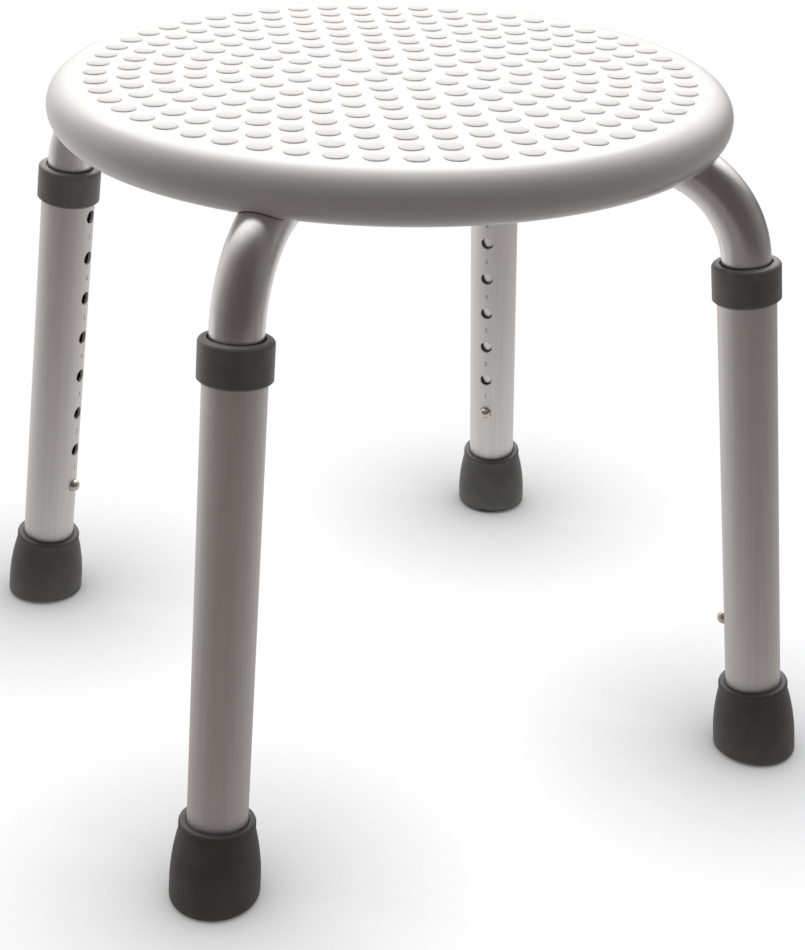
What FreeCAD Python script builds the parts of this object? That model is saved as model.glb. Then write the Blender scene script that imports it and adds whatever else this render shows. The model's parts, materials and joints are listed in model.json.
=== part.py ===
import FreeCAD, Part
import math
import os
import Sketcher
from FreeCAD import Placement, Rotation, Vector

# Round shower stool. Millimetres, +Z up, origin on the floor under the centre of the seat.
# Every leg is an upper tube, bent in under the seat, that slides in a lower tube and is held by a snap button.

doc = FreeCAD.newDocument("shower_stool")
sheet = doc.addObject("Spreadsheet::Sheet", "sizes")


class Size:
    """A length or angle that carries its value and its expression on the sheet."""

    def __init__(self, value, text):
        self.value = float(value)
        self.text = text

    def __add__(self, other):
        other = sized(other)
        return Size(self.value + other.value, f"({self.text} + {other.text})")

    def __sub__(self, other):
        other = sized(other)
        return Size(self.value - other.value, f"({self.text} - {other.text})")

    def __mul__(self, other):
        other = sized(other)
        return Size(self.value * other.value, f"({self.text} * {other.text})")

    def __truediv__(self, other):
        other = sized(other)
        return Size(self.value / other.value, f"({self.text} / {other.text})")

    def __neg__(self):
        return Size(-self.value, f"(0 - {self.text})")

    __radd__ = __add__
    __rmul__ = __mul__

    def __rsub__(self, other):
        return sized(other) - self


def sized(value):
    return value if isinstance(value, Size) else Size(value, repr(float(value)))


def sine(angle):
    return Size(math.sin(math.radians(angle.value)), f"sin({angle.text})")


def cosine(angle):
    return Size(math.cos(math.radians(angle.value)), f"cos({angle.text})")


def tangent(angle):
    return Size(math.tan(math.radians(angle.value)), f"tan({angle.text})")


def root(area):
    return Size(math.sqrt(area.value), f"sqrt({area.text})")


def whole(number):
    return Size(math.floor(number.value), f"floor({number.text})")


def size(name, value):
    row = size.row = getattr(size, "row", 0) + 1
    sheet.set(f"A{row}", name)
    sheet.set(f"B{row}", str(value))
    sheet.setAlias(f"B{row}", name)
    return Size(value, f"sizes.{name}")


# seat
seat_radius = size("seat_radius", 175)
seat_top = size("seat_top", 358)
seat_thickness = size("seat_thickness", 27)
seat_wall = size("seat_wall", 3)
base_radius = size("base_radius", 149.7)
ledge_width = size("ledge_width", 6)
ledge_height = size("ledge_height", 6)
seam_gap = size("seam_gap", 0.3)
channel_wall = size("channel_wall", 3)
channel_gap = size("channel_gap", 0.5)
# legs
splay = size("splay", 7.4)
leg_circle = size("leg_circle", 228)
arm_drop = size("arm_drop", 26)
bend_radius = size("bend_radius", 54)
arm_end = size("arm_end", 38)
upper_radius = size("upper_radius", 12.5)
lower_radius = size("lower_radius", 15)
tube_wall = size("tube_wall", 1.5)
tube_tail = size("tube_tail", 40)
# height adjustment
hole_pitch = size("hole_pitch", 25.4)
hole_radius = size("hole_radius", 3.9)
first_hole = size("first_hole", 81)
last_hole_margin = size("last_hole_margin", 6)
button_radius = size("button_radius", 3.7)
button_proud = size("button_proud", 4)
button_flange = size("button_flange", 0.9)
button_gap = size("button_gap", 0.05)
spring_width = size("spring_width", 6)
spring_thickness = size("spring_thickness", 0.6)
spring_tail = size("spring_tail", 32)
button_dome = size("button_dome", 3.3)
button_back = size("button_back", 1)
flange_gap = size("flange_gap", 0.2)
# collars
collar_height = size("collar_height", 20)
collar_wall = size("collar_wall", 2.45)
collar_lip = size("collar_lip", 4)
collar_mouth = size("collar_mouth", 1)
collar_round = size("collar_round", 2.2)
collar_chamfer = size("collar_chamfer", 1.2)
guide_length = size("guide_length", 18)
bend_clearance = size("bend_clearance", 1.2)
running_gap = size("running_gap", 0.08)
fit_gap = size("fit_gap", 0.05)
# feet
foot_height = size("foot_height", 43)
foot_wall = size("foot_wall", 3.95)
foot_flare = size("foot_flare", 3.6)
foot_floor = size("foot_floor", 7)
foot_lip = size("foot_lip", 3.6)
foot_step = size("foot_step", 0.4)
foot_edge = size("foot_edge", 3)
foot_bevel = size("foot_bevel", 1.3)
foot_groove = size("foot_groove", 0.2)
sole_margin = size("sole_margin", 0.065)
flare_radius = size("flare_radius", 125)
washer_thickness = size("washer_thickness", 2)
# clamps and screws
clamp_circle = size("clamp_circle", 95)
clamp_width = size("clamp_width", 16)
clamp_thickness = size("clamp_thickness", 2)
clamp_reach = size("clamp_reach", 28)
clamp_gap = size("clamp_gap", 0.3)
screw_offset = size("screw_offset", 21)
screw_radius = size("screw_radius", 2)
screw_length = size("screw_length", 18)
screw_head_radius = size("screw_head_radius", 4.4)
screw_head = size("screw_head", 3)
boss_radius = size("boss_radius", 5.5)
boss_height = size("boss_height", 20)
plug_length = size("plug_length", 12)
plug_flange = size("plug_flange", 2)
plug_room = size("plug_room", 2)
base_screw_radius = size("base_screw_radius", 1.5)
base_screw_head_radius = size("base_screw_head_radius", 3.1)
base_screw_head = size("base_screw_head", 1.8)
base_screw_length = size("base_screw_length", 7)
thread_gap = size("thread_gap", 0.05)
cut_over = size("cut_over", 1)
doc.recompute()

LEG_AZIMUTHS = {"rear_right": 45, "rear_left": 135, "front_left": 225, "front_right": 315}
BASE_SCREWS = 8
TOLERANCE = 1e-6

seat_bottom = seat_top - seat_thickness
rim_radius = seat_thickness / 2
arm_height = seat_top - arm_drop
bend_turn = 90 - splay
bend_run = bend_radius * tangent(bend_turn / 2)
corner = leg_circle - arm_height * tangent(splay)
bend_in = corner - bend_run
bend_out_x = corner + bend_run * sine(splay)
bend_out_z = arm_height - bend_run * cosine(splay)
bend_start = arm_height / cosine(splay) - bend_run
collar_top = bend_start - bend_clearance
collar_bottom = collar_top - collar_height
lower_top = collar_top - collar_lip
lower_bottom = foot_floor + washer_thickness
foot_socket = lower_radius + fit_gap
foot_top_radius = foot_socket + foot_wall
foot_base_radius = foot_top_radius + foot_flare
foot_straight = foot_base_radius * tangent(splay) + sole_margin
hole_count = whole((collar_bottom - last_hole_margin - first_hole) / hole_pitch) + 1
upper_bottom = first_hole - tube_tail
upper_end_x = leg_circle - upper_bottom * sine(splay)
upper_end_z = upper_bottom * cosine(splay)


def new_body(name):
    body = doc.addObject("PartDesign::Body", name)
    body.Label = name
    return body


def bind(item, prop, value):
    item.setExpression(prop, sized(value).text)


def new_sketch(body, name, role, offset=(0, 0, 0)):
    sketch = body.newObject("Sketcher::SketchObject", name)
    plane = [item for item in body.Origin.OriginFeatures if item.Role == role][0]
    sketch.AttachmentSupport = [(plane, "")]
    sketch.MapMode = "FlatFace"
    for axis, value in zip("xyz", offset):
        if isinstance(value, Size):
            bind(sketch, f"AttachmentOffset.Base.{axis}", value)
    return sketch


def hold(sketch, kind, value, *places):
    index = sketch.addConstraint(Sketcher.Constraint(kind, *places, sized(value).value))
    if isinstance(value, Size):
        bind(sketch, f"Constraints[{index}]", value)


def circle(sketch, radius, x=0, y=0):
    centre = Vector(sized(x).value, sized(y).value, 0)
    index = sketch.addGeometry(Part.Circle(centre, Vector(0, 0, 1), sized(radius).value))
    hold(sketch, "DistanceX", x, index, 3)
    hold(sketch, "DistanceY", y, index, 3)
    hold(sketch, "Radius", radius, index)


def outline(sketch, points, closed=True):
    """Lines and arcs through the points. A point (x, y, radius) starts an arc, its centre on the left if
    the radius is positive and on the right if it is negative."""
    last = len(points) if closed else len(points) - 1
    for i in range(last):
        start, end = points[i], points[(i + 1) % len(points)]
        a = Vector(sized(start[0]).value, sized(start[1]).value, 0)
        b = Vector(sized(end[0]).value, sized(end[1]).value, 0)
        if len(start) == 2:
            index = sketch.addGeometry(Part.LineSegment(a, b))
            ends = (1, 2)
        else:
            side = math.copysign(1, sized(start[2]).value)
            radius = abs(sized(start[2]).value)
            half = (b - a) / 2
            left = Vector(-half.y, half.x, 0).normalize()
            depth = math.sqrt(max(radius**2 - half.Length**2, 0))
            sag = radius - depth
            middle = a + half - left * side * sag
            arc = Part.Arc(a, middle, b)
            index = sketch.addGeometry(arc)
            ends = (1, 2) if side > 0 else (2, 1)
            size_of_arc = start[2] if side > 0 else -sized(start[2])
            hold(sketch, "Radius", size_of_arc, index)
        hold(sketch, "DistanceX", start[0], index, ends[0])
        hold(sketch, "DistanceY", start[1], index, ends[0])
        if i > 0:
            sketch.addConstraint(Sketcher.Constraint("Coincident", index, ends[0], *previous))
        else:
            first = (index, ends[0])
        previous = (index, ends[1])
    if closed:
        sketch.addConstraint(Sketcher.Constraint("Coincident", *previous, *first))
    else:
        hold(sketch, "DistanceX", points[-1][0], *previous)
        hold(sketch, "DistanceY", points[-1][1], *previous)


def pad(body, name, sketch, length, midplane=False):
    feature = body.newObject("PartDesign::Pad", name)
    feature.Profile = sketch
    feature.Midplane = midplane
    feature.Length = sized(length).value
    bind(feature, "Length", length)
    return feature


def revolve(body, name, sketch, axis):
    feature = body.newObject("PartDesign::Revolution", name)
    feature.Profile = sketch
    feature.ReferenceAxis = (sketch, [axis])
    feature.Angle = 360
    return feature


def place_on_leg(item, azimuth):
    """Local +Z runs up the leg's axis from the floor, local -X faces the middle of the stool."""
    turn = Rotation(Vector(0, 0, 1), azimuth)
    lean = Rotation(Vector(0, 1, 0), -splay.value)
    item.Placement = Placement(turn.multVec(Vector(leg_circle.value, 0, 0)), turn * lean)


def place_around(item, azimuth):
    """Local +X runs out from the middle of the stool."""
    item.Placement = Placement(Vector(), Rotation(Vector(0, 0, 1), azimuth))


def cylinder(name, radius, low, high, x=0, y=0):
    item = doc.addObject("Part::Cylinder", name)
    bind(item, "Radius", radius)
    bind(item, "Height", sized(high) - low)
    bind(item, "Placement.Base.x", x)
    bind(item, "Placement.Base.y", y)
    bind(item, "Placement.Base.z", low)
    return item


def combine(kind, name, **links):
    item = doc.addObject(kind, name)
    for key, value in links.items():
        setattr(item, key, value)
    item.Label = name
    return item


def arm_pipe(body, radii, inner_end, straight_run=()):
    """A tube that runs out under the seat and bends down, with a straight run after the bend if given."""
    path = new_sketch(body, body.Name + "_path", "XZ_Plane")
    outline(path, [(inner_end, arm_height), (bend_in, arm_height, -bend_radius),
                   (bend_out_x, bend_out_z), *straight_run], closed=False)
    ring = new_sketch(body, body.Name + "_ring", "YZ_Plane", (0, 0, inner_end))
    for radius in radii:
        circle(ring, radius, 0, arm_height)
    pipe = body.newObject("PartDesign::AdditivePipe", body.Name + "_pipe")
    pipe.Profile = ring
    pipe.Spine = path
    return pipe


def arm_channel(name, radius, azimuth, start):
    """The room an arm takes under the seat, open downwards so that the arm drops in."""
    body = new_body(name)
    arm_pipe(body, [radius], start)
    below = new_sketch(body, name + "_below", "XZ_Plane")
    under = bend_out_z - rim_radius
    outline(below, [(start, under), (bend_out_x, under), (bend_out_x, bend_out_z, bend_radius),
                    (bend_in, arm_height), (start, arm_height)])
    pad(body, name + "_slot", below, radius * 2, midplane=True)
    place_around(body, azimuth)
    return body


parts = {}

# Seat: a hollow moulding with a full round rim. The underside panel sits on a ledge inside the rim.


def round_slab(name, radius, low, high, edge):
    body = new_body(name)
    profile = new_sketch(body, name + "_profile", "XZ_Plane")
    outline(profile, [(0, low), (radius - edge, low, edge), (radius, low + edge, edge),
                      (radius - edge, high), (0, high)])
    revolve(body, name + "_turned", profile, "V_Axis")
    return body


envelope = round_slab("seat_envelope", seat_radius, seat_bottom, seat_top, rim_radius)
cavity = round_slab("seat_cavity", seat_radius - seat_wall, seat_bottom + seat_wall,
                    seat_top - seat_wall, rim_radius - seat_wall)
hollow = combine("Part::Cut", "seat_hollow", Base=envelope, Tool=cavity)

panel_top = seat_bottom + seat_wall
panel_room = base_radius + seam_gap
ledge_inner = panel_room - ledge_width
ledge_outer = cylinder("ledge_outer", panel_room + ledge_width, panel_top, panel_top + ledge_height)
ledge_bore = cylinder("ledge_bore", ledge_inner, panel_top, panel_top + ledge_height)
ledge = combine("Part::Cut", "seat_ledge", Base=ledge_outer, Tool=ledge_bore)

channel_radius = upper_radius + channel_gap
channel_start = arm_end - plug_flange - plug_room
channels = []
linings = []
bosses = []
pilots = []
for place, azimuth in LEG_AZIMUTHS.items():
    channels.append(arm_channel(f"channel_{place}", channel_radius, azimuth, channel_start))
    linings.append(arm_channel(f"lining_{place}", channel_radius + channel_wall, azimuth,
                               channel_start - channel_wall))
    for side in (-1, 1):
        turned = Size(azimuth, str(azimuth))
        x = clamp_circle * cosine(turned) - screw_offset * side * sine(turned)
        y = clamp_circle * sine(turned) + screw_offset * side * cosine(turned)
        tag = f"{place}_{'left' if side > 0 else 'right'}"
        bosses.append(cylinder(f"boss_{tag}", boss_radius, seat_bottom, seat_bottom + boss_height, x, y))
        pilots.append(cylinder(f"pilot_{tag}", screw_radius + thread_gap, seat_bottom - cut_over,
                               seat_bottom + boss_height - seat_wall / 2, x, y))
base_screw_circle = base_radius - ledge_width / 2
base_screw_spots = []
for k in range(BASE_SCREWS):
    angle = 360 * (k + 0.5) / BASE_SCREWS
    turned = Size(angle, str(angle))
    x = base_screw_circle * cosine(turned)
    y = base_screw_circle * sine(turned)
    base_screw_spots.append((x, y))
    pilots.append(cylinder(f"base_pilot_{k}", base_screw_radius + thread_gap, seat_bottom - cut_over,
                           seat_bottom + base_screw_length + cut_over, x, y))
lining = combine("Part::MultiFuse", "linings", Shapes=linings)
lining_in_seat = combine("Part::MultiCommon", "linings_in_seat", Shapes=[envelope, lining])
seat_full = combine("Part::MultiFuse", "seat_full", Shapes=[hollow, ledge, lining_in_seat] + bosses)
seat_cuts = combine("Part::MultiFuse", "seat_cuts", Shapes=channels + pilots)
seat_cut = combine("Part::Cut", "seat_cut", Base=seat_full, Tool=seat_cuts)


def panel_zone(name, gap):
    plate = cylinder(name + "_plate", base_radius + gap, seat_bottom - cut_over, panel_top)
    core = cylinder(name + "_core", ledge_inner - seam_gap + gap, seat_bottom - cut_over, seat_top - seat_wall * 2)
    return combine("Part::MultiFuse", name, Shapes=[plate, core])


parts["seat_shell"] = combine("Part::Cut", "seat_shell", Base=seat_cut, Tool=panel_zone("shell_room", seam_gap))
parts["seat_base"] = combine("Part::MultiCommon", "seat_base",
                             Shapes=[seat_cut, panel_zone("base_room", sized(0))])


def screws(name, spots, radius, head_radius, head_height, seat_level, length, azimuth=0):
    solids = []
    for k, (x, y) in enumerate(spots):
        shank = cylinder(f"{name}_shank_{k}", radius, seat_level - head_height / 2, seat_level + length, x, y)
        head = cylinder(f"{name}_head_{k}", head_radius, seat_level - head_height, seat_level, x, y)
        one = combine("Part::Fuse", f"{name}_{k}", Base=head, Tool=shank)
        edge = doc.addObject("Part::Fillet", f"{name}_round_{k}")
        edge.Base = one
        doc.recompute()
        rims = [i + 1 for i, e in enumerate(one.Shape.Edges)
                if abs(e.BoundBox.ZMax - (seat_level - head_height).value) < TOLERANCE]
        edge.Edges = [(i, head_height.value / 2, head_height.value / 2) for i in rims]
        solids.append(edge)
    group = combine("Part::Compound", name, Links=solids)
    place_around(group, azimuth)
    return group


parts["base_screws"] = screws("base_screws", base_screw_spots, base_screw_radius, base_screw_head_radius,
                              base_screw_head, seat_bottom, base_screw_length)

for place, azimuth in LEG_AZIMUTHS.items():
    # Upper tube: arm under the seat, bend, and the straight run that slides in the lower tube.
    tube = new_body(f"upper_tube_{place}_plain")
    arm_pipe(tube, [upper_radius, upper_radius - tube_wall], arm_end, [(upper_end_x, upper_end_z)])
    drill = doc.addObject("Part::Cylinder", f"button_hole_{place}")
    bind(drill, "Radius", button_radius + button_gap)
    bind(drill, "Height", lower_radius)
    inward = Placement(Vector(0, 0, first_hole.value), Rotation(Vector(0, 1, 0), -90))
    lean = Rotation(Vector(0, 1, 0), -splay.value)
    drill.Placement = Placement(Vector(leg_circle.value, 0, 0), lean) * inward
    upper = combine("Part::Cut", f"upper_tube_{place}", Base=tube, Tool=drill)
    place_around(upper, azimuth)
    parts[f"upper_tube_{place}"] = upper

    # Lower tube with the row of holes that faces the middle of the stool.
    name = f"lower_tube_{place}"
    body = new_body(name)
    ring = new_sketch(body, name + "_ring", "XY_Plane", (0, 0, lower_bottom))
    circle(ring, lower_radius)
    circle(ring, lower_radius - tube_wall)
    pad(body, name + "_drawn", ring, lower_top - lower_bottom)
    doc.recompute()
    before = body.Shape.Volume
    bore = new_sketch(body, name + "_bore", "YZ_Plane")
    circle(bore, hole_radius, 0, first_hole)
    pocket = body.newObject("PartDesign::Pocket", name + "_hole")
    pocket.Profile = bore
    pocket.Type = "Length"
    pocket.Length = (lower_radius + cut_over).value
    bind(pocket, "Length", lower_radius + cut_over)
    pocket.Reversed = False
    row = body.newObject("PartDesign::LinearPattern", name + "_row")
    row.Originals = [pocket]
    upright = [item for item in body.Origin.OriginFeatures if item.Role == "Z_Axis"][0]
    row.Direction = (upright, [""])
    row.Length = hole_pitch.value * (hole_count.value - 1)
    row.Occurrences = int(hole_count.value)
    bind(row, "Length", hole_pitch * (hole_count - 1))
    bind(row, "Occurrences", hole_count)
    body.Tip = row
    place_on_leg(body, azimuth)
    doc.recompute()
    assert body.Shape.Volume < before - hole_count.value * hole_radius.value**2 * tube_wall.value
    parts[name] = body

    # Collar: skirt over the tube, open mouth round the upper tube, guide sleeve inside.
    name = f"collar_{place}"
    body = new_body(name)
    profile = new_sketch(body, name + "_profile", "XZ_Plane")
    guide = upper_radius + running_gap
    sleeve = lower_radius - tube_wall - fit_gap
    skirt = lower_radius + fit_gap
    outside = lower_radius + collar_wall
    mouth = upper_radius + collar_mouth
    step = lower_top + collar_lip / 2
    outline(profile, [
        (guide, lower_top - guide_length), (sleeve, lower_top - guide_length), (sleeve, lower_top + fit_gap),
        (skirt, lower_top + fit_gap), (skirt, collar_bottom), (outside - collar_chamfer, collar_bottom),
        (outside, collar_bottom + collar_chamfer),
        (outside, collar_top - collar_round, collar_round), (outside - collar_round, collar_top),
        (mouth, collar_top), (mouth, step), (guide, step)])
    revolve(body, name + "_turned", profile, "V_Axis")
    place_on_leg(body, azimuth)
    parts[name] = body

    # Rubber foot, coaxial with the leg, with its sole level on the floor.
    name = f"foot_{place}"
    body = new_body(name)
    profile = new_sketch(body, name + "_profile", "XZ_Plane")
    lip_low = foot_height - foot_lip
    outline(profile, [
        (0, -foot_edge * 2), (foot_base_radius, -foot_edge * 2), (foot_base_radius, foot_straight, flare_radius),
        (foot_top_radius - foot_groove, lip_low - foot_step), (foot_top_radius - foot_step, lip_low - foot_step),
        (foot_top_radius - foot_step, lip_low), (foot_top_radius, lip_low),
        (foot_top_radius, foot_height - foot_bevel), (foot_top_radius - foot_bevel, foot_height),
        (foot_socket, foot_height), (foot_socket, foot_floor), (0, foot_floor)])
    revolve(body, name + "_turned", profile, "V_Axis")
    doc.recompute()
    before = body.Shape.Volume
    side_view = new_sketch(body, name + "_level", "XZ_Plane")
    far = foot_base_radius * 2
    outline(side_view, [(-far, far * tangent(splay)), (-far, -far), (far, -far), (far, -far * tangent(splay))])
    sole = body.newObject("PartDesign::Pocket", name + "_sole")
    sole.Profile = side_view
    sole.Type = "Length"
    sole.Midplane = True
    sole.Length = far.value * 2
    bind(sole, "Length", far * 2)
    doc.recompute()
    assert body.Shape.Volume < before
    lowest = [e for e in sole.Shape.Edges if len(e.Vertexes) <= 2 and e.Length > foot_base_radius.value * math.pi]
    lowest.sort(key=lambda e: e.CenterOfMass.z)
    index = [i + 1 for i, e in enumerate(sole.Shape.Edges) if e.isSame(lowest[0])][0]
    softened = body.newObject("PartDesign::Fillet", name + "_edge")
    softened.Base = (sole, [f"Edge{index}"])
    softened.Radius = foot_edge.value
    bind(softened, "Radius", foot_edge)
    place_on_leg(body, azimuth)
    parts[name] = body

    # Steel washer in the foot, under the end of the tube.
    name = f"foot_washer_{place}"
    body = new_body(name)
    ring = new_sketch(body, name + "_ring", "XY_Plane", (0, 0, foot_floor))
    circle(ring, lower_radius - clamp_gap)
    pad(body, name + "_cut", ring, washer_thickness)
    place_on_leg(body, azimuth)
    parts[name] = body

    # Snap button: stem through both tubes, dome outside, flange inside the upper tube.
    name = f"snap_button_{place}"
    body = new_body(name)
    profile = new_sketch(body, name + "_profile", "XZ_Plane", (0, first_hole, 0))
    tip = -(lower_radius + button_proud)
    flange_radius = button_radius + button_flange
    inside = upper_radius - tube_wall
    seat_of_flange = -root(inside * inside - flange_radius * flange_radius) + flange_gap
    back = seat_of_flange + button_back
    dome_radius = (button_radius * button_radius + button_dome * button_dome) / (button_dome * 2)
    outline(profile, [(back, 0), (back, flange_radius), (seat_of_flange, flange_radius),
                      (seat_of_flange, button_radius), (tip + button_dome, button_radius, dome_radius),
                      (tip, 0)])
    revolve(body, name + "_turned", profile, "H_Axis")
    place_on_leg(body, azimuth)
    parts[name] = body

    # Leaf spring bent to a V: one arm behind the button, the other on the far wall.
    name = f"button_spring_{place}"
    body = new_body(name)
    side_view = new_sketch(body, name + "_side", "XZ_Plane", (0, first_hole, 0))
    near = back + button_gap
    near_arm = spring_tail / 4
    wall_x = root(inside * inside - spring_width * spring_width / 4) - fit_gap
    wall_low = spring_tail / 2
    wall_high = spring_tail / 8
    fold = wall_x / 3
    thin = spring_thickness
    outline(side_view, [
        (near, near_arm), (near, -near_arm), (fold, -spring_tail), (wall_x, -wall_low),
        (wall_x, wall_high), (wall_x - thin, wall_high), (wall_x - thin, -wall_low),
        (fold, -spring_tail + thin * 2), (near + thin, -near_arm), (near + thin, near_arm)])
    pad(body, name + "_bent", side_view, spring_width, midplane=True)
    place_on_leg(body, azimuth)
    parts[name] = body

    # Plug in the inner end of the arm.
    name = f"arm_plug_{place}"
    body = new_body(name)
    profile = new_sketch(body, name + "_profile", "XZ_Plane", (0, arm_height, 0))
    grip = upper_radius - tube_wall - fit_gap
    outline(profile, [(arm_end - plug_flange, 0), (arm_end + plug_length, 0), (arm_end + plug_length, grip),
                      (arm_end, grip), (arm_end, upper_radius), (arm_end - plug_flange, upper_radius)])
    revolve(body, name + "_turned", profile, "H_Axis")
    place_around(body, azimuth)
    parts[name] = body

    # Saddle clamp across the arm, its ears flat against the underside of the seat.
    name = f"arm_clamp_{place}"
    body = new_body(name)
    section = new_sketch(body, name + "_section", "YZ_Plane", (0, 0, clamp_circle - clamp_width / 2))
    below_arm = arm_height - seat_bottom
    inner = upper_radius + clamp_gap
    outer = inner + clamp_thickness
    ear_low = seat_bottom - clamp_thickness
    inner_y = root(inner * inner - below_arm * below_arm)
    ear_drop = below_arm + clamp_thickness
    outer_y = root(outer * outer - ear_drop * ear_drop)
    outline(section, [(-clamp_reach, seat_bottom), (-clamp_reach, ear_low), (-outer_y, ear_low, outer),
                      (outer_y, ear_low), (clamp_reach, ear_low), (clamp_reach, seat_bottom),
                      (inner_y, seat_bottom, -inner), (-inner_y, seat_bottom)])
    pad(body, name + "_pressed", section, clamp_width)
    doc.recompute()
    before = body.Shape.Volume
    holes = new_sketch(body, name + "_holes", "XY_Plane", (0, 0, ear_low - cut_over))
    for side in (-1, 1):
        circle(holes, screw_radius + clamp_gap, clamp_circle, screw_offset * side)
    punched = body.newObject("PartDesign::Pocket", name + "_punched")
    punched.Profile = holes
    punched.Type = "Length"
    punched.Reversed = True
    punched.Length = (clamp_thickness + cut_over * 2).value
    bind(punched, "Length", clamp_thickness + cut_over * 2)
    place_around(body, azimuth)
    doc.recompute()
    assert body.Shape.Volume < before
    parts[name] = body

    name = f"clamp_screws_{place}"
    spots = [(clamp_circle, -screw_offset), (clamp_circle, screw_offset)]
    parts[name] = screws(name, spots, screw_radius, screw_head_radius, screw_head, ear_low, screw_length, azimuth)

doc.recompute()
for item in doc.Objects:
    if "Invalid" in item.State or "Error" in item.State:
        raise RuntimeError(f"{item.Name} failed: {item.State}")
for name, item in parts.items():
    if item.Shape.isNull() or not item.Shape.isValid():
        raise RuntimeError(f"{name} has no valid shape")
os.makedirs("parts", exist_ok=True)
for name, item in parts.items():
    item.Shape.exportStep(f"parts/{name}.step")
    print(name, len(item.Shape.Solids), round(item.Shape.Volume))
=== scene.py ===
import json
import math

import bmesh
import bpy
from mathutils import Matrix, Vector

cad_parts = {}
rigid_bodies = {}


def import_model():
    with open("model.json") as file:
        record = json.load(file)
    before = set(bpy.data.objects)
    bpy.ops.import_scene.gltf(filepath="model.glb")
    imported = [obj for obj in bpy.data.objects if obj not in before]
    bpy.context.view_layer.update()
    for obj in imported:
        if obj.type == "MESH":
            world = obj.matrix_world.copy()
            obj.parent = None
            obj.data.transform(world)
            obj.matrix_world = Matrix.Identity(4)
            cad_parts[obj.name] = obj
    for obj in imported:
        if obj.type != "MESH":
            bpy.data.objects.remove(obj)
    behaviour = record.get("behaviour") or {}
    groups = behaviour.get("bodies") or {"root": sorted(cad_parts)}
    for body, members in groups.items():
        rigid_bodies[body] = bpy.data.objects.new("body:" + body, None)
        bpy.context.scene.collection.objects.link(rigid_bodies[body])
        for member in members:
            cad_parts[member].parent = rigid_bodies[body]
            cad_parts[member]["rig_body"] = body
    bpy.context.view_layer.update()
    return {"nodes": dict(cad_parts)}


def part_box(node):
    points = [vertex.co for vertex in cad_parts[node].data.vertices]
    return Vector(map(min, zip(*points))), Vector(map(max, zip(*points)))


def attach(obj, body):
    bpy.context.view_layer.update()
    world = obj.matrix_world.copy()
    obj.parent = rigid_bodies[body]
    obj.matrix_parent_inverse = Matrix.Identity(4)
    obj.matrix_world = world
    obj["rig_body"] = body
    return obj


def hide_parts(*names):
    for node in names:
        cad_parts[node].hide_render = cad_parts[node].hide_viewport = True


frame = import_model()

places = {"rear_right": 45, "rear_left": 135, "front_left": 225, "front_right": 315}
leg = {"splay": math.radians(7.4), "circle": 0.228, "pitch": 0.0254, "firstHole": 0.081, "holes": 8,
       "lowerRadius": 0.015}
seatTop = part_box("seat_shell")[1].z
scene = bpy.context.scene


class Link:
    # a socket that can be used in sums
    def __init__(self, nodes, socket):
        self.nodes = nodes
        self.socket = socket

    def sum(self, operation, *values):
        return self.nodes.add("ShaderNodeMath", {"operation": operation}, dict(enumerate(values)))

    def apply(self, operation, *others):
        return self.sum(operation, self, *others)

    def __add__(self, other):
        return self.sum("ADD", self, other)

    def __sub__(self, other):
        return self.sum("SUBTRACT", self, other)

    def __rsub__(self, other):
        return self.sum("SUBTRACT", other, self)

    def __mul__(self, other):
        return self.sum("MULTIPLY", self, other)

    def __truediv__(self, other):
        return self.sum("DIVIDE", self, other)

    def __pow__(self, other):
        return self.sum("POWER", self, other)

    __radd__ = __add__
    __rmul__ = __mul__


class Nodes:
    def __init__(self, tree):
        self.tree = tree

    def add(self, kind, settings=None, inputs=None, out=0):
        node = self.tree.nodes.new(kind)
        for name, value in (settings or {}).items():
            if name == "stops":
                while len(node.color_ramp.elements) < len(value):
                    node.color_ramp.elements.new(0.5)
                for stop, (place, colour) in zip(node.color_ramp.elements, value):
                    stop.position = place
                    stop.color = (*colour, 1) if isinstance(colour, tuple) else (colour, colour, colour, 1)
            else:
                setattr(node, name, value)
        for key, value in (inputs or {}).items():
            if isinstance(value, Link):
                self.tree.links.new(value.socket, node.inputs[key])
            else:
                node.inputs[key].default_value = value
        return Link(self, node.outputs[out]) if len(node.outputs) else node

    def output(self, link, out):
        return Link(self, link.socket.node.outputs[out])

    def mix(self, amount, first, second):
        first, second = [(*c, 1) if isinstance(c, tuple) else c for c in (first, second)]
        return self.add("ShaderNodeMix", {"data_type": "RGBA"}, {0: amount, 6: first, 7: second}, 2)

    def noise(self, place, scale, detail=2.0, roughness=0.5):
        return self.add("ShaderNodeTexNoise", None, {"Vector": place, "Scale": scale, "Detail": detail,
                                                     "Roughness": roughness})

    def stretch(self, place, amounts):
        return self.add("ShaderNodeMapping", {"vector_type": "POINT"}, {"Vector": place, "Scale": amounts})

    def between(self, value, low, high, toLow=0.0, toHigh=1.0):
        return self.add("ShaderNodeMapRange", {"interpolation_type": "SMOOTHSTEP"},
                        {0: value, 1: low, 2: high, 3: toLow, 4: toHigh})

    def bump(self, height, strength, distance, under=None):
        inputs = {"Height": height, "Strength": strength, "Distance": distance}
        if under:
            inputs["Normal"] = under
        return self.add("ShaderNodeBump", None, inputs)


def newMaterial(name, build):
    material = bpy.data.materials.new(name)
    material.use_nodes = True
    material.node_tree.nodes.clear()
    nodes = Nodes(material.node_tree)
    values = build(nodes)
    clear = values.pop("Clear", None)
    shader = nodes.add("ShaderNodeBsdfPrincipled", None, values)
    if clear:
        shader = nodes.add("ShaderNodeMixShader", None, {0: clear, 1: shader,
                                                         2: nodes.add("ShaderNodeBsdfTransparent")})
    nodes.add("ShaderNodeOutputMaterial", None, {"Surface": shader})
    return material


seatPlastic = {"warm": (0.69, 0.676, 0.66), "pale": (0.725, 0.714, 0.70), "gloss": 0.3, "coat": 0.35,
               "cloud": 14.0, "flow": 9.0, "scuff": 60.0, "peel": 230.0, "grain": 1400.0}


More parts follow.
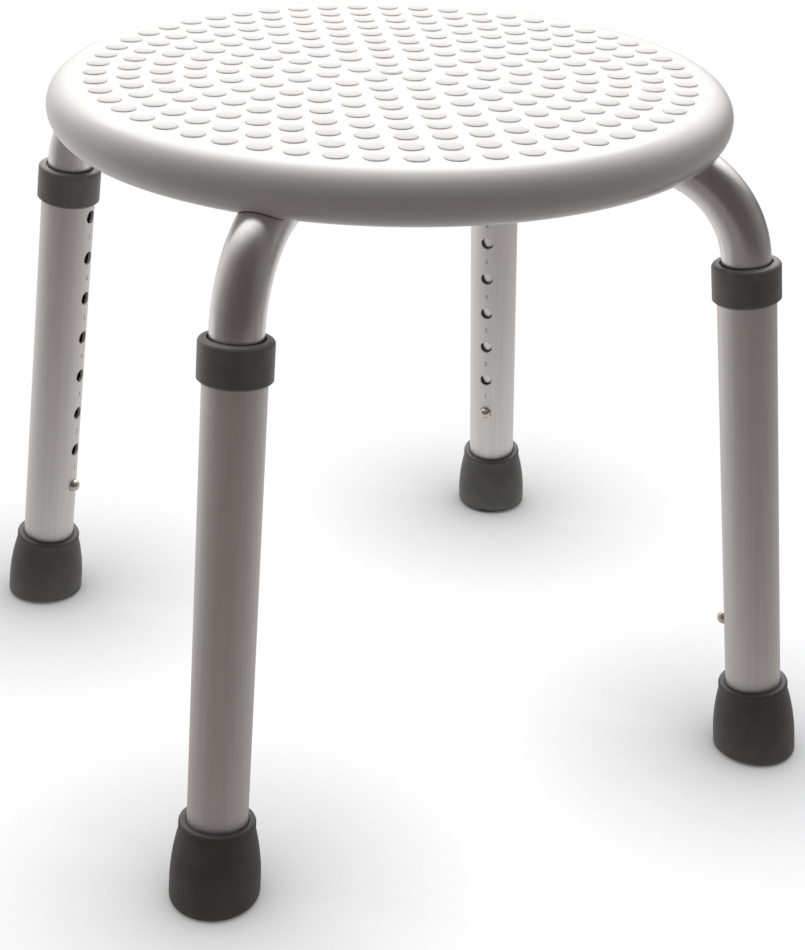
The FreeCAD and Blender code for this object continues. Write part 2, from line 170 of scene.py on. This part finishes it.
def buildSeatPlastic(nodes):
    place = nodes.add("ShaderNodeTexCoord", out="Object")
    cloud = nodes.noise(place, seatPlastic["cloud"], 3.0)
    flow = nodes.noise(nodes.stretch(place, (3.0, 3.0, 40.0)), seatPlastic["flow"], 4.0)
    scuff = nodes.noise(nodes.stretch(place, (1.0, 7.0, 1.0)), seatPlastic["scuff"], 5.0, 0.65)
    peel = nodes.noise(place, seatPlastic["peel"])
    grain = nodes.noise(place, seatPlastic["grain"])
    skin = nodes.bump(peel, 0.05, 0.0008)
    tint = nodes.between(cloud * 0.7 + flow * 0.3, 0.35, 0.65)
    return {"Base Color": nodes.mix(tint, seatPlastic["warm"], seatPlastic["pale"]),
            "Roughness": seatPlastic["gloss"] + cloud * 0.08 + nodes.between(scuff, 0.55, 0.75) * 0.06,
            "Coat Weight": seatPlastic["coat"], "Coat Roughness": 0.16,
            "Normal": nodes.bump(grain, 0.04, 0.0002, skin)}


basePlastic = {"warm": (0.74, 0.725, 0.70), "pale": (0.80, 0.79, 0.77), "gloss": 0.5, "cloud": 22.0,
               "spark": 1900.0}


def buildBasePlastic(nodes):
    place = nodes.add("ShaderNodeTexCoord", out="Object")
    cloud = nodes.noise(place, basePlastic["cloud"], 4.0)
    spark = nodes.noise(place, basePlastic["spark"], 3.0, 0.6)
    tint = nodes.between(cloud, 0.35, 0.7)
    return {"Base Color": nodes.mix(tint, basePlastic["warm"], basePlastic["pale"]),
            "Roughness": basePlastic["gloss"] + spark * 0.12,
            "Normal": nodes.bump(spark, 0.2, 0.0003)}


# the dots' base colour is a little darker than the seat plastic's: painted shade that stands in for the sheen
# the matte dots don't catch. Their higher roughness is real
dotPlastic = {"warm": (0.665, 0.652, 0.64), "pale": (0.705, 0.695, 0.685), "gloss": 0.48, "cloud": 30.0,
              "spark": 2400.0}


def buildDotPlastic(nodes):
    place = nodes.add("ShaderNodeTexCoord", out="Object")
    cloud = nodes.noise(place, dotPlastic["cloud"], 3.0)
    spark = nodes.noise(place, dotPlastic["spark"], 3.0, 0.6)
    tint = nodes.between(cloud, 0.35, 0.65)
    return {"Base Color": nodes.mix(tint, dotPlastic["warm"], dotPlastic["pale"]),
            "Roughness": dotPlastic["gloss"] + spark * 0.12,
            "Normal": nodes.bump(spark, 0.12, 0.0002)}


def drawnLines(nodes, fine, coarse):
    # streaks that run along the leg, from the tube's own coordinates
    place = nodes.add("ShaderNodeAttribute", {"attribute_name": "legPoint"}, out="Vector")
    thin = nodes.noise(nodes.stretch(place, (1.0, 1.0, 0.006)), fine)
    wide = nodes.noise(nodes.stretch(place, (1.0, 1.0, 0.02)), coarse)
    return place, thin, wide


upperAluminium = {"dark": (0.74, 0.715, 0.698), "light": (0.79, 0.77, 0.755), "gloss": 0.21, "fine": 2600.0,
                  "coarse": 500.0, "haze": 40.0}


def buildUpperAluminium(nodes):
    place, thin, wide = drawnLines(nodes, upperAluminium["fine"], upperAluminium["coarse"])
    haze = nodes.noise(place, upperAluminium["haze"], 3.0)
    tint = nodes.between(wide * 0.6 + haze * 0.4, 0.3, 0.7)
    return {"Base Color": nodes.mix(tint, upperAluminium["dark"], upperAluminium["light"]),
            "Metallic": 1.0,
            "Roughness": upperAluminium["gloss"] + thin * 0.05 + haze * 0.04,
            "Normal": nodes.bump(thin, 0.012, 0.0001)}


lowerAluminium = {"dark": (0.735, 0.71, 0.692), "light": (0.79, 0.768, 0.75), "gloss": 0.47, "fine": 3200.0,
                  "coarse": 650.0, "haze": 55.0, "grain": 5200.0}


def buildLowerAluminium(nodes):
    place, thin, wide = drawnLines(nodes, lowerAluminium["fine"], lowerAluminium["coarse"])
    haze = nodes.noise(place, lowerAluminium["haze"], 3.0)
    grain = nodes.noise(place, lowerAluminium["grain"])
    tint = nodes.between(wide * 0.7 + haze * 0.3, 0.3, 0.7)
    return {"Base Color": nodes.mix(tint, lowerAluminium["dark"], lowerAluminium["light"]),
            "Metallic": 1.0,
            "Roughness": lowerAluminium["gloss"] + thin * 0.06 + haze * 0.05,
            "Normal": nodes.bump(grain, 0.04, 0.0001, nodes.bump(thin, 0.03, 0.0001))}


collarPlastic = {"dark": (0.155, 0.148, 0.14), "light": (0.195, 0.187, 0.178), "gloss": 0.34,
                 "cloud": 120.0, "spark": 2600.0}


def buildCollarPlastic(nodes):
    place = nodes.add("ShaderNodeTexCoord", out="Object")
    cloud = nodes.noise(place, collarPlastic["cloud"], 3.0)
    spark = nodes.noise(place, collarPlastic["spark"], 3.0, 0.6)
    tint = nodes.between(cloud * 0.6 + spark * 0.4, 0.35, 0.7)
    return {"Base Color": nodes.mix(tint, collarPlastic["dark"], collarPlastic["light"]),
            "Roughness": collarPlastic["gloss"] + cloud * 0.06 + spark * 0.06,
            "Normal": nodes.bump(spark, 0.16, 0.0002)}


footRubber = {"dark": (0.072, 0.072, 0.072), "light": (0.092, 0.092, 0.092), "dust": (0.125, 0.123, 0.12),
              "gloss": 0.46, "cloud": 90.0, "grain": 2200.0, "dustFrom": 0.001, "dustTo": 0.009}


def buildFootRubber(nodes):
    place = nodes.add("ShaderNodeTexCoord", out="Object")
    height = nodes.add("ShaderNodeSeparateXYZ", None, {0: place}, "Z")
    cloud = nodes.noise(place, footRubber["cloud"], 4.0)
    grain = nodes.noise(place, footRubber["grain"], 3.0, 0.6)
    low = 1 - nodes.between(height + cloud * 0.004, footRubber["dustFrom"], footRubber["dustTo"])
    tint = nodes.between(cloud * 0.7 + grain * 0.3, 0.35, 0.68)
    body = nodes.mix(tint, footRubber["dark"], footRubber["light"])
    return {"Base Color": nodes.mix(low * 0.35, body, footRubber["dust"]),
            "Roughness": footRubber["gloss"] + grain * 0.1 + low * 0.1,
            "Normal": nodes.bump(grain, 0.22, 0.0002)}


buttonNickel = {"warm": (0.60, 0.50, 0.43), "pale": (0.72, 0.66, 0.61), "gloss": 0.16, "cloud": 420.0,
                "wear": 1500.0}


def buildButtonNickel(nodes):
    place = nodes.add("ShaderNodeTexCoord", out="Object")
    cloud = nodes.noise(place, buttonNickel["cloud"], 3.0)
    wear = nodes.noise(place, buttonNickel["wear"], 4.0, 0.7)
    return {"Base Color": nodes.mix(cloud, buttonNickel["warm"], buttonNickel["pale"]),
            "Metallic": 1.0,
            "Roughness": buttonNickel["gloss"] + wear * 0.14,
            "Normal": nodes.bump(wear, 0.04, 0.0001)}


zincSteel = {"dark": (0.47, 0.48, 0.49), "light": (0.66, 0.66, 0.65), "gloss": 0.26, "flake": 420.0,
             "scratch": 900.0}


def buildZincSteel(nodes):
    place = nodes.add("ShaderNodeTexCoord", out="Object")
    flake = nodes.add("ShaderNodeTexVoronoi", None, {"Vector": place, "Scale": zincSteel["flake"]}, "Color")
    shade = nodes.add("ShaderNodeSeparateXYZ", None, {0: flake}, "X")
    scratch = nodes.noise(nodes.stretch(place, (0.2, 1.0, 1.0)), zincSteel["scratch"], 3.0)
    return {"Base Color": nodes.mix(shade * 0.6 + scratch * 0.4, zincSteel["dark"], zincSteel["light"]),
            "Metallic": 1.0,
            "Roughness": zincSteel["gloss"] + shade * 0.1 + scratch * 0.1,
            "Normal": nodes.bump(scratch, 0.06, 0.0001)}


springSteel = {"dark": (0.34, 0.34, 0.35), "light": (0.52, 0.51, 0.5), "gloss": 0.22, "roll": 1800.0}


def buildSpringSteel(nodes):
    place = nodes.add("ShaderNodeTexCoord", out="Object")
    roll = nodes.noise(nodes.stretch(place, (1.0, 1.0, 0.05)), springSteel["roll"])
    return {"Base Color": nodes.mix(roll, springSteel["dark"], springSteel["light"]),
            "Metallic": 1.0,
            "Roughness": springSteel["gloss"] + roll * 0.14,
            "Normal": nodes.bump(roll, 0.05, 0.0001)}


plugPlastic = {"dark": (0.022, 0.022, 0.023), "light": (0.04, 0.04, 0.042), "gloss": 0.45, "spark": 2100.0}


def buildPlugPlastic(nodes):
    place = nodes.add("ShaderNodeTexCoord", out="Object")
    spark = nodes.noise(place, plugPlastic["spark"], 3.0, 0.6)
    return {"Base Color": nodes.mix(spark, plugPlastic["dark"], plugPlastic["light"]),
            "Roughness": plugPlastic["gloss"] + spark * 0.15,
            "Normal": nodes.bump(spark, 0.15, 0.0002)}


etchedMark = {"dark": (0.20, 0.19, 0.185), "light": (0.34, 0.33, 0.32), "gloss": 0.5, "burn": 4200.0}


def buildEtchedMark(nodes):
    place = nodes.add("ShaderNodeTexCoord", out="Object")
    burn = nodes.noise(place, etchedMark["burn"], 3.0, 0.6)
    return {"Base Color": nodes.mix(burn, etchedMark["dark"], etchedMark["light"]),
            "Metallic": 0.6,
            "Roughness": etchedMark["gloss"] + burn * 0.2}


materials = {"seat": newMaterial("seat plastic", buildSeatPlastic),
             "base": newMaterial("underside plastic", buildBasePlastic),
             "dot": newMaterial("dot plastic", buildDotPlastic),
             "upper": newMaterial("polished aluminium", buildUpperAluminium),
             "lower": newMaterial("satin aluminium", buildLowerAluminium),
             "collar": newMaterial("collar plastic", buildCollarPlastic),
             "foot": newMaterial("foot rubber", buildFootRubber),
             "button": newMaterial("button nickel", buildButtonNickel),
             "zinc": newMaterial("zinc plated steel", buildZincSteel),
             "spring": newMaterial("spring steel", buildSpringSteel),
             "plug": newMaterial("plug plastic", buildPlugPlastic),
             "mark": newMaterial("etched mark", buildEtchedMark)}
print("materials made:", len(materials))


def legMatrix(azimuth):
    # +Z runs up the leg from the floor, -X faces the middle of the stool
    spin = Matrix.Rotation(math.radians(azimuth), 4, "Z")
    return spin @ Matrix.Translation((leg["circle"], 0, 0)) @ Matrix.Rotation(-leg["splay"], 4, "Y")


def newPiece(name, mesh, body, material):
    piece = bpy.data.objects.new(name, mesh)
    scene.collection.objects.link(piece)
    mesh.materials.clear()
    mesh.materials.append(material)
    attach(piece, body)
    return piece


def sharpEdges(shape, angle):
    return [e for e in shape.edges if len(e.link_faces) == 2 and e.calc_face_angle(0) > angle]


def smoothFaces(shape, angle=math.pi):
    # smooth shading all over, broken at the edges that turn more than the angle
    for face in shape.faces:
        face.smooth = True
    for line in sharpEdges(shape, angle):
        line.smooth = False


welding = {"reach": 0.000002, "sliver": 0.000001, "flat": math.radians(0.6), "sharp": math.radians(35)}


def finishedCopy(node, material, edge=0.0, azimuth=None):
    # the node's own shape, welded, with smooth faces and, where edge is given, softened edges
    mesh = bpy.data.meshes.new(node)
    shape = bmesh.new()
    shape.from_mesh(frame["nodes"][node].data)
    bmesh.ops.remove_doubles(shape, verts=shape.verts, dist=welding["reach"])
    bmesh.ops.dissolve_degenerate(shape, edges=shape.edges, dist=welding["sliver"])
    if edge:
        bmesh.ops.dissolve_limit(shape, angle_limit=welding["flat"], verts=shape.verts, edges=shape.edges)
        rims = sharpEdges(shape, welding["sharp"])
        bmesh.ops.bevel(shape, geom=rims, offset=edge, segments=2, profile=0.5, affect="EDGES",
                        clamp_overlap=True)
        bmesh.ops.triangulate(shape, faces=[f for f in shape.faces if len(f.verts) > 4])
    smoothFaces(shape, welding["sharp"])
    shape.to_mesh(mesh)
    shape.free()
    if azimuth is not None:
        back = legMatrix(azimuth).inverted()
        points = mesh.attributes.new("legPoint", "FLOAT_VECTOR", "POINT")
        for entry, vertex in zip(points.data, mesh.vertices):
            entry.vector = back @ vertex.co
    body = frame["nodes"][node]["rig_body"]
    piece = newPiece(node.replace("_", "-"), mesh, body, material)
    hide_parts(node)
    return piece


finishedCopy("seat_shell", materials["seat"])
finishedCopy("seat_base", materials["base"])
finishedCopy("base_screws", materials["zinc"])

# what each leg has: node, slot, material, softening of its edges
legNodes = [("upper_tube", "upper_aluminium", "upper", 0),
            ("lower_tube", "lower_aluminium", "lower", 0),
            ("collar", "collar_plastic", "collar", 0),
            ("foot_washer", "clamp_steel", "zinc", 0),
            ("snap_button", "button_nickel", "button", 0),
            ("button_spring", "spring_steel", "spring", 0.00008),
            ("arm_plug", "black_plastic", "plug", 0.0003),
            ("arm_clamp", "clamp_steel", "zinc", 0.0002),
            ("clamp_screws", "screw_steel", "zinc", 0)]
for where, azimuth in places.items():
    for stem, slot, finish, edge in legNodes:
        finishedCopy(f"{stem}_{where}", materials[finish], edge=edge, azimuth=azimuth)
print("frame dressed:", len(frame["nodes"]), "nodes")


def lathe(name, profile, steps):
    # a profile of (radius, height) pairs turned about Z
    mesh = bpy.data.meshes.new(name)
    shape = bmesh.new()
    rings = []
    turns = [math.tau * k / steps for k in range(steps)]
    for radius, height in profile:
        if radius == 0:
            rings.append([shape.verts.new((0, 0, height))] * steps)
        else:
            spots = [(radius * math.cos(t), radius * math.sin(t), height) for t in turns]
            rings.append([shape.verts.new(spot) for spot in spots])
    for low, high in zip(rings, rings[1:]):
        for k in range(steps):
            corners = [low[k], low[(k + 1) % steps], high[(k + 1) % steps], high[k]]
            shape.faces.new(list(dict.fromkeys(corners)))
    smoothFaces(shape)
    bmesh.ops.recalc_face_normals(shape, faces=shape.faces)
    shape.to_mesh(mesh)
    shape.free()
    return mesh


# rubber foot: a flared boot with a thin lip and a grooved sole that sits level on the floor
foot = {"height": 0.043, "base": 0.0226, "top": 0.019, "lip": 0.0036, "lipEdge": 0.0003, "step": 0.0004,
        "bevel": 0.0013, "mouth": 0.0006, "neck": 0.0004, "straight": 0.009, "waist": 0.004, "below": 0.008,
        "edge": 0.003, "socket": 0.01505, "depth": 0.007, "steps": 72, "flareSteps": 12,
        "sharp": math.radians(50)}
sole = {"rim": 0.0016, "grooves": 3, "groove": 0.0011, "slope": 0.0004, "bed": 0.0012, "land": 0.0017}


def footProfile():
    height, top, base = foot["height"], foot["top"], foot["base"]
    lipLow = height - foot["lip"]
    under = top - foot["step"]
    neck = lipLow - foot["neck"]
    socket, mouth = foot["socket"], foot["mouth"]
    profile = [(0, foot["depth"]), (socket, foot["depth"]), (socket, height - mouth),
               (socket + mouth, height), (top - foot["bevel"], height),
               (top - foot["bevel"] * 0.3, height - foot["bevel"] * 0.3), (top, height - foot["bevel"]),
               (top, lipLow + foot["lipEdge"]), (under, lipLow), (under, neck)]
    for k in range(1, foot["flareSteps"] + 1):
        part = k / foot["flareSteps"]
        profile.append((base - (base - under) * (1 - part) ** 2, neck - (lipLow - foot["straight"]) * part))
    return profile + [(base, foot["waist"]), (base, -foot["below"]), (0, -foot["below"])]


def cutGrooves(shape, face):
    bmesh.ops.inset_region(shape, faces=[face], thickness=sole["rim"])
    for k in range(sole["grooves"]):
        bmesh.ops.inset_region(shape, faces=[face], thickness=sole["slope"], depth=-sole["groove"])
        bmesh.ops.inset_region(shape, faces=[face], thickness=sole["bed"])
        bmesh.ops.inset_region(shape, faces=[face], thickness=sole["slope"], depth=sole["groove"])
        bmesh.ops.inset_region(shape, faces=[face], thickness=sole["land"])


def footShape():
    mesh = lathe("foot", footProfile(), foot["steps"])
    shape = bmesh.new()
    shape.from_mesh(mesh)
    down = legMatrix(0).to_3x3().inverted() @ Vector((0, 0, -1))
    everything = shape.verts[:] + shape.edges[:] + shape.faces[:]
    cut = bmesh.ops.bisect_plane(shape, geom=everything, plane_co=(0, 0, 0), plane_no=down,
                                 clear_outer=True)
    rim = [e for e in cut["geom_cut"] if isinstance(e, bmesh.types.BMEdge)]
    bmesh.ops.contextual_create(shape, geom=rim)
    bmesh.ops.bevel(shape, geom=rim, offset=foot["edge"], segments=5, profile=0.5, affect="EDGES")
    bmesh.ops.recalc_face_normals(shape, faces=shape.faces)
    cutGrooves(shape, max(shape.faces, key=lambda face: len(face.verts)))
    smoothFaces(shape, foot["sharp"])
    shape.to_mesh(mesh)
    shape.free()
    return mesh


for where, azimuth in places.items():
    boot = footShape()
    boot.transform(legMatrix(azimuth))
    name = f"foot-{where.replace('_', '-')}"
    piece = newPiece(name, boot, f"lower_leg_{where}", materials["foot"])
    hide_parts(f"foot_{where}")
print("feet shaped")

# raised dots: ring k holds 6k - 1 of them. The profile is in shares of the radius and the height
dots = {"rings": 9, "ringPitch": 0.0167, "firstRay": math.radians(-107), "radius": 0.0061, "height": 0.0006,
        "steps": 14, "profile": [(1, -0.3), (1, 0), (0.97, 0.55), (0.88, 0.95), (0, 1)]}


def bakeNodes(name, tree, values):
    # runs a node group on an empty mesh and hands back the plain mesh it makes
    host = bpy.data.objects.new(name, bpy.data.meshes.new(name))
    scene.collection.objects.link(host)
    modifier = host.modifiers.new(name, "NODES")
    modifier.node_group = tree
    for item in tree.interface.items_tree:
        if item.item_type == "SOCKET" and item.in_out == "INPUT" and item.name in values:
            modifier[item.identifier] = values[item.name]
    seen = bpy.context.evaluated_depsgraph_get()
    mesh = bpy.data.meshes.new_from_object(host.evaluated_get(seen))
    host.modifiers.remove(modifier)
    bpy.data.objects.remove(host)
    return mesh


def newGroup(name, inputs):
    tree = bpy.data.node_groups.new(name, "GeometryNodeTree")
    tree.interface.new_socket(name="Geometry", in_out="OUTPUT", socket_type="NodeSocketGeometry")
    for label, kind in inputs.items():
        tree.interface.new_socket(name=label, in_out="INPUT", socket_type="NodeSocket" + kind)
    nodes = Nodes(tree)
    entry = nodes.add("NodeGroupInput")
    return tree, nodes, {label: nodes.output(entry, label) for label in inputs}


def dotField():
    tree, nodes, given = newGroup("dot field", {"Count": "Int", "Ring Pitch": "Float", "First Ray": "Float",
                                                "Level": "Float", "Dot": "Object", "Finish": "Material"})
    index = nodes.add("GeometryNodeInputIndex") - 1
    ring = (((index * 3 + 1.001) ** 0.5 - 1) / 3).apply("FLOOR") + 1
    before = (ring - 1) * (ring - 1) * 3 + (ring - 1) * 2
    angle = given["First Ray"] + (index - before + 0.5) * math.tau / (ring * 6 - 1)
    radius = given["Ring Pitch"] * ring * index.apply("GREATER_THAN", -0.5)
    spot = nodes.add("ShaderNodeCombineXYZ", None, {0: radius * angle.apply("COSINE"),
                                                    1: radius * angle.apply("SINE"), 2: given["Level"]})
    points = nodes.add("GeometryNodePoints", None, {"Count": given["Count"], "Position": spot})
    dot = nodes.add("GeometryNodeObjectInfo", None, {"Object": given["Dot"]}, "Geometry")
    laid = nodes.add("GeometryNodeInstanceOnPoints", None, {"Points": points, "Instance": dot})
    real = nodes.add("GeometryNodeRealizeInstances", None, {"Geometry": laid})
    painted = nodes.add("GeometryNodeSetMaterial", None, {"Geometry": real, "Material": given["Finish"]})
    nodes.add("NodeGroupOutput", None, {"Geometry": painted})
    return tree


dotProfile = [(dots["radius"] * out, dots["height"] * up) for out, up in dots["profile"]]
dotShape = bpy.data.objects.new("dotShape", lathe("dotShape", dotProfile, dots["steps"]))
dotCount = 3 * dots["rings"] ** 2 + 2 * dots["rings"] + 1
dotMesh = bakeNodes("seatDots", dotField(), {"Count": dotCount, "Ring Pitch": dots["ringPitch"],
                                             "First Ray": dots["firstRay"], "Level": seatTop, "Dot": dotShape,
                                             "Finish": materials["dot"]})
bpy.data.objects.remove(dotShape)
newPiece("seatDots", dotMesh, "seat_frame", materials["dot"])
print("seat dots:", dotCount, "faces", len(dotMesh.polygons))

# numbers beside the holes, wrapped round the tube
numerals = {"height": 0.0031, "capShare": 0.7, "lift": 0.00003}
reach = leg["lowerRadius"] + numerals["lift"]
for where, azimuth in places.items():
    flat = bmesh.new()
    for k in range(leg["holes"] - 1):
        words = bpy.data.curves.new("number", "FONT")
        words.body = str(k + 1)
        words.size = numerals["height"] / numerals["capShare"]
        words.align_x = "CENTER"
        words.align_y = "CENTER"
        words.resolution_u = 3
        holder = bpy.data.objects.new("number", words)
        scene.collection.objects.link(holder)
        drawn = bpy.data.meshes.new_from_object(holder.evaluated_get(bpy.context.evaluated_depsgraph_get()))
        bpy.data.objects.remove(holder)
        level = leg["firstHole"] + (k + 0.5) * leg["pitch"]
        for vertex in drawn.vertices:
            angle = math.pi + vertex.co.x / reach
            vertex.co = (reach * math.cos(angle), reach * math.sin(angle), level + vertex.co.y)
        flat.from_mesh(drawn)
    mesh = bpy.data.meshes.new("legNumbers")
    flat.to_mesh(mesh)
    flat.free()
    mesh.transform(legMatrix(azimuth))
    name = f"legNumbers-{where.replace('_', '-')}"
    newPiece(name, mesh, f"lower_leg_{where}", materials["mark"])
print("leg numbers placed")

# the moulding gate in the middle of the seat
gate = {"radius": 0.0046, "height": 0.00022, "dish": 0.00005, "steps": 32}
gateMesh = lathe("gateMark", [(gate["radius"], 0.0), (gate["radius"] * 0.9, gate["height"]),
                              (gate["radius"] * 0.62, gate["height"]), (gate["radius"] * 0.5, gate["dish"]),
                              (0, gate["dish"])], gate["steps"])
gateMesh.transform(Matrix.Translation((0, 0, seatTop + dots["height"])))
newPiece("gateMark", gateMesh, "seat_frame", materials["base"])

# floor, light and camera
studio = {"floorSize": 12.0, "drop": 0.0003, "shade": 0.95, "contact": 0.12, "view": math.radians(64.26),
          "domeSteps": 24}


def sheetOfPaper(name, size, level, build):
    mesh = bpy.data.meshes.new(name)
    corners = [(x * size / 2, y * size / 2, level) for x, y in ((-1, -1), (1, -1), (1, 1), (-1, 1))]
    mesh.from_pydata(corners, [], [(0, 1, 2, 3)])
    mesh.materials.append(newMaterial(name, build))
    paper = bpy.data.objects.new(name, mesh)
    scene.collection.objects.link(paper)
    return paper


def buildFloor(nodes):
    # pale paper that only the feet's soft shade darkens, so legs let down through it stay in sight. The shade
    # is painted: a dark sheet shows where ambient occlusion finds the feet near, and is clear elsewhere
    near = nodes.add("ShaderNodeAmbientOcclusion", {"samples": 16}, {"Distance": studio["contact"]}, "AO")
    behind = nodes.add("ShaderNodeNewGeometry", out="Backfacing")  # from below, the paper isn't there
    return {"Base Color": (0.03, 0.03, 0.03, 1), "Roughness": 0.9, "Specular IOR Level": 0.0,
            "Clear": (1 - (1 - near) ** 0.6 * studio["shade"]).apply("MAXIMUM", behind)}


floor = sheetOfPaper("floor", studio["floorSize"], -studio["drop"], buildFloor)


def buildBackdrop(nodes):
    return {"Base Color": (0, 0, 0, 1), "Specular IOR Level": 0.0, "Emission Color": (1, 1, 1, 1),
            "Emission Strength": 1.0}


# white paper all round, for the camera only
half = studio["floorSize"] / 2
turns = [math.pi * k / studio["domeSteps"] for k in range(1, studio["domeSteps"])]
arc = [(half * math.sin(t), -half * math.cos(t)) for t in turns]
domeMesh = lathe("backdrop", [(0, -half), *arc, (0, half)], studio["domeSteps"] * 2)
dome = bpy.data.objects.new("backdrop", domeMesh)
scene.collection.objects.link(dome)
domeMesh.materials.append(newMaterial("backdrop", buildBackdrop))
for unseen in (floor, dome):
    unseen.visible_diffuse = False
    unseen.visible_glossy = False
    unseen.visible_transmission = False
dome.visible_shadow = False

# the lit table that the legs and the underside reflect, darker on the camera's side and on its right
bounce = {"size": 3.2, "level": -0.004, "dark": (0.25, 0.232, 0.224), "light": (0.9, 0.89, 0.88)}


def buildCard(nodes):
    place = nodes.add("ShaderNodeTexCoord", out="Object")
    ahead = nodes.add("ShaderNodeSeparateXYZ", None, {0: place}, "X")
    left = nodes.output(ahead, "Y")
    lit = nodes.between(ahead, -0.5, 0.45) * nodes.between(left, -1.0, -0.1, 0.25, 1.0)
    return {"Base Color": (0, 0, 0, 1), "Specular IOR Level": 0.0, "Emission Strength": 1.0,
            "Emission Color": nodes.mix(lit, bounce["dark"], bounce["light"])}


card = sheetOfPaper("bounceCard", bounce["size"], bounce["level"], buildCard)
card.rotation_euler.z = studio["view"]
card.visible_camera = False
card.visible_shadow = False

# the room's walls, dark behind the camera and bright to the left, under a glow that is high and far
studioWalls = {"overhead": (2.2, 2.19, 2.165), "strength": 0.9}
world = bpy.data.worlds.new("studio")
world.use_nodes = True
world.node_tree.nodes.clear()
scene.world = world
sky = Nodes(world.node_tree)
way = sky.add("ShaderNodeTexCoord", out="Generated")
away = sky.add("ShaderNodeVectorRotate", {"rotation_type": "Z_AXIS"},
               {"Vector": way, "Angle": -studio["view"]})
ahead = sky.add("ShaderNodeSeparateXYZ", None, {0: away}, "X")
left, up = sky.output(ahead, "Y"), sky.output(ahead, "Z")
turn = left.apply("ARCTAN2", ahead) / math.tau + 0.5
around = sky.add("ShaderNodeValToRGB", {"stops": [
    (0.0, (0.115, 0.1, 0.095)), (0.12, (0.12, 0.107, 0.102)), (0.2, (0.2, 0.185, 0.178)),
    (0.3, (0.3, 0.29, 0.285)), (0.4, (0.16, 0.15, 0.146)), (0.48, (0.5, 0.5, 0.5)),
    (0.58, (0.95, 0.95, 0.94)), (0.67, (0.8, 0.79, 0.78)), (0.77, (0.34, 0.32, 0.31)),
    (0.88, (0.15, 0.137, 0.131)), (1.0, (0.115, 0.1, 0.095))]}, {0: turn})
high = sky.between(up * 0.84 + ahead * 0.66, 0.5, 1.04)
glow = sky.mix(high, around, studioWalls["overhead"])
back = sky.add("ShaderNodeBackground", None, {"Color": glow, "Strength": studioWalls["strength"]})
sky.add("ShaderNodeOutputWorld", None, {"Surface": back})


softbox = {"place": (0.35, 1.25, 1.9), "aim": (0, 0, 0.3), "size": (2.2, 1.4), "watts": 19.0}
lamp = bpy.data.lights.new("overhead", "AREA")
lamp.shape = "RECTANGLE"
lamp.size, lamp.size_y = softbox["size"]
lamp.energy = softbox["watts"]
lampHolder = bpy.data.objects.new("overhead", lamp)
lampHolder.location = softbox["place"]
beam = Vector(softbox["aim"]) - Vector(softbox["place"])
lampHolder.rotation_euler = beam.to_track_quat("-Z", "Y").to_euler()
scene.collection.objects.link(lampHolder)

camera = {"place": (-0.3813, -0.8181, 0.5859), "tilt": math.radians(26.99), "roll": math.radians(1.71),
          "lens": 67.1, "sensor": 36}
eye = bpy.data.objects.new("camera", bpy.data.cameras.new("camera"))
eye.location = camera["place"]
heading = Matrix.Rotation(studio["view"] - math.pi / 2, 3, "Z")
tilted = heading @ Matrix.Rotation(math.pi / 2 - camera["tilt"], 3, "X")
eye.rotation_euler = (tilted @ Matrix.Rotation(camera["roll"], 3, "Z")).to_euler()
eye.data.lens = camera["lens"]
eye.data.sensor_width = camera["sensor"]
scene.collection.objects.link(eye)
scene.camera = eye
scene.view_settings.view_transform = "Standard"
print("studio set")
